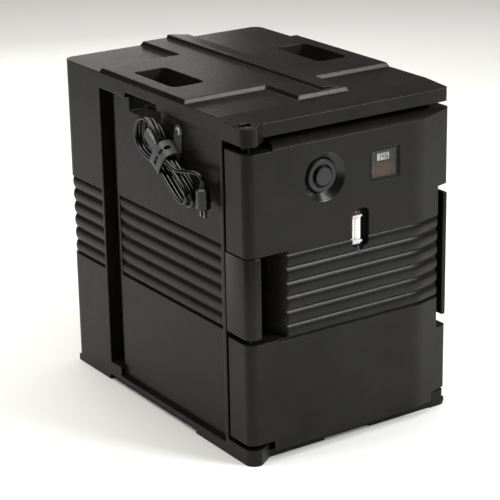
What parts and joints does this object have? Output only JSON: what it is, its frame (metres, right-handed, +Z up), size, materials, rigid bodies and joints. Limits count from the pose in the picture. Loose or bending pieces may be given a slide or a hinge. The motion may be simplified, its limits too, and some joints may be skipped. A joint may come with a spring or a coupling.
{
  "type": "insulated food carrier",
  "caption": "Front-loading insulated pan carrier with a hinged heated door, side latch, vent, two thermometers, carrying grips and a strapped power cord.",
  "frame": {"origin": "middle of the carrier's footprint on the floor, without the cord set and its strap", "axes": "+X to the right of the door, the door faces -Y, +Z up"},
  "size_m": [0.4972, 0.65, 0.655],
  "materials": {
    "shell": "textured rotomoulded polyethylene, near black",
    "foam": "rigid polyurethane foam",
    "zinc_steel": "zinc-plated steel",
    "nylon": "moulded black nylon",
    "strap_rubber": "grey rubber",
    "cord_jacket": "glossy black cord jacket",
    "silicone": "grey silicone",
    "trim_plastic": "black moulded plastic",
    "gloss_trim": "polished black plastic",
    "clear_cover": "clear cover",
    "board": "green circuit board",
    "lcd": "grey liquid crystal panel",
    "solar": "brown solar cell",
    "card": "white scale card",
    "tube_glass": "capillary tube",
    "plate_aluminium": "satin sheet",
    "brass_pins": "plated pins"
  },
  "bodies": {
    "cabinet": {"body_shell": "shell", "body_foam": "foam", "hinge_post": "shell", "upper_hinge_pin": "zinc_steel", "lower_hinge_pin": "zinc_steel", "middle_hinge_pin": "zinc_steel", "upper_spacer": "nylon", "lower_spacer": "nylon", "latch_rod": "zinc_steel", "latch_bracket_upper": "nylon", "latch_bracket_lower": "nylon", "bracket_screws": "zinc_steel", "cord_strap": "strap_rubber", "strap_eyelet": "zinc_steel", "strap_screw": "zinc_steel", "cord_hank": "cord_jacket", "cord_plug": "cord_jacket", "cord_connector": "cord_jacket"},
    "door": {"door_shell": "shell", "door_foam": "foam", "door_gasket": "silicone", "vent_ring": "trim_plastic", "dial_case": "gloss_trim", "dial_window": "clear_cover", "dial_board": "board", "lcd_panel": "lcd", "solar_cell": "solar", "probe_rod": "zinc_steel", "gauge_card": "card", "gauge_tube": "tube_glass", "gauge_clips": "zinc_steel", "heater_pad": "silicone", "heater_plate": "plate_aluminium", "heater_screws": "zinc_steel", "thermostat": "trim_plastic", "thermal_cutoff": "trim_plastic", "power_inlet": "trim_plastic", "inlet_pins": "brass_pins", "inlet_screws": "zinc_steel", "heater_leads": "cord_jacket", "upper_door_bush": "nylon", "post_bush_upper": "nylon", "post_bush_lower": "nylon", "lower_door_bush": "nylon"},
    "vent_knob": {"vent_cap": "trim_plastic"},
    "latch": {"latch_handle": "nylon"}
  },
  "joints": [
    {"name": "door_hinge", "type": "hinge", "parent": "cabinet", "child": "door", "pos_m": [-0.2125, -0.295, 0.3], "axis": [0, 0, -1], "range_deg": [0, 200]},
    {"name": "latch_pivot", "type": "hinge", "parent": "cabinet", "child": "latch", "pos_m": [0.2235, -0.221, 0.314], "axis": [0, 0, 1], "range_deg": [-1.8, 40]},
    {"name": "vent_turn", "type": "hinge", "parent": "door", "child": "vent_knob", "pos_m": [-0.065, -0.315, 0.5235], "axis": [0, -1, 0], "range_deg": [0, 90]}
  ]
}
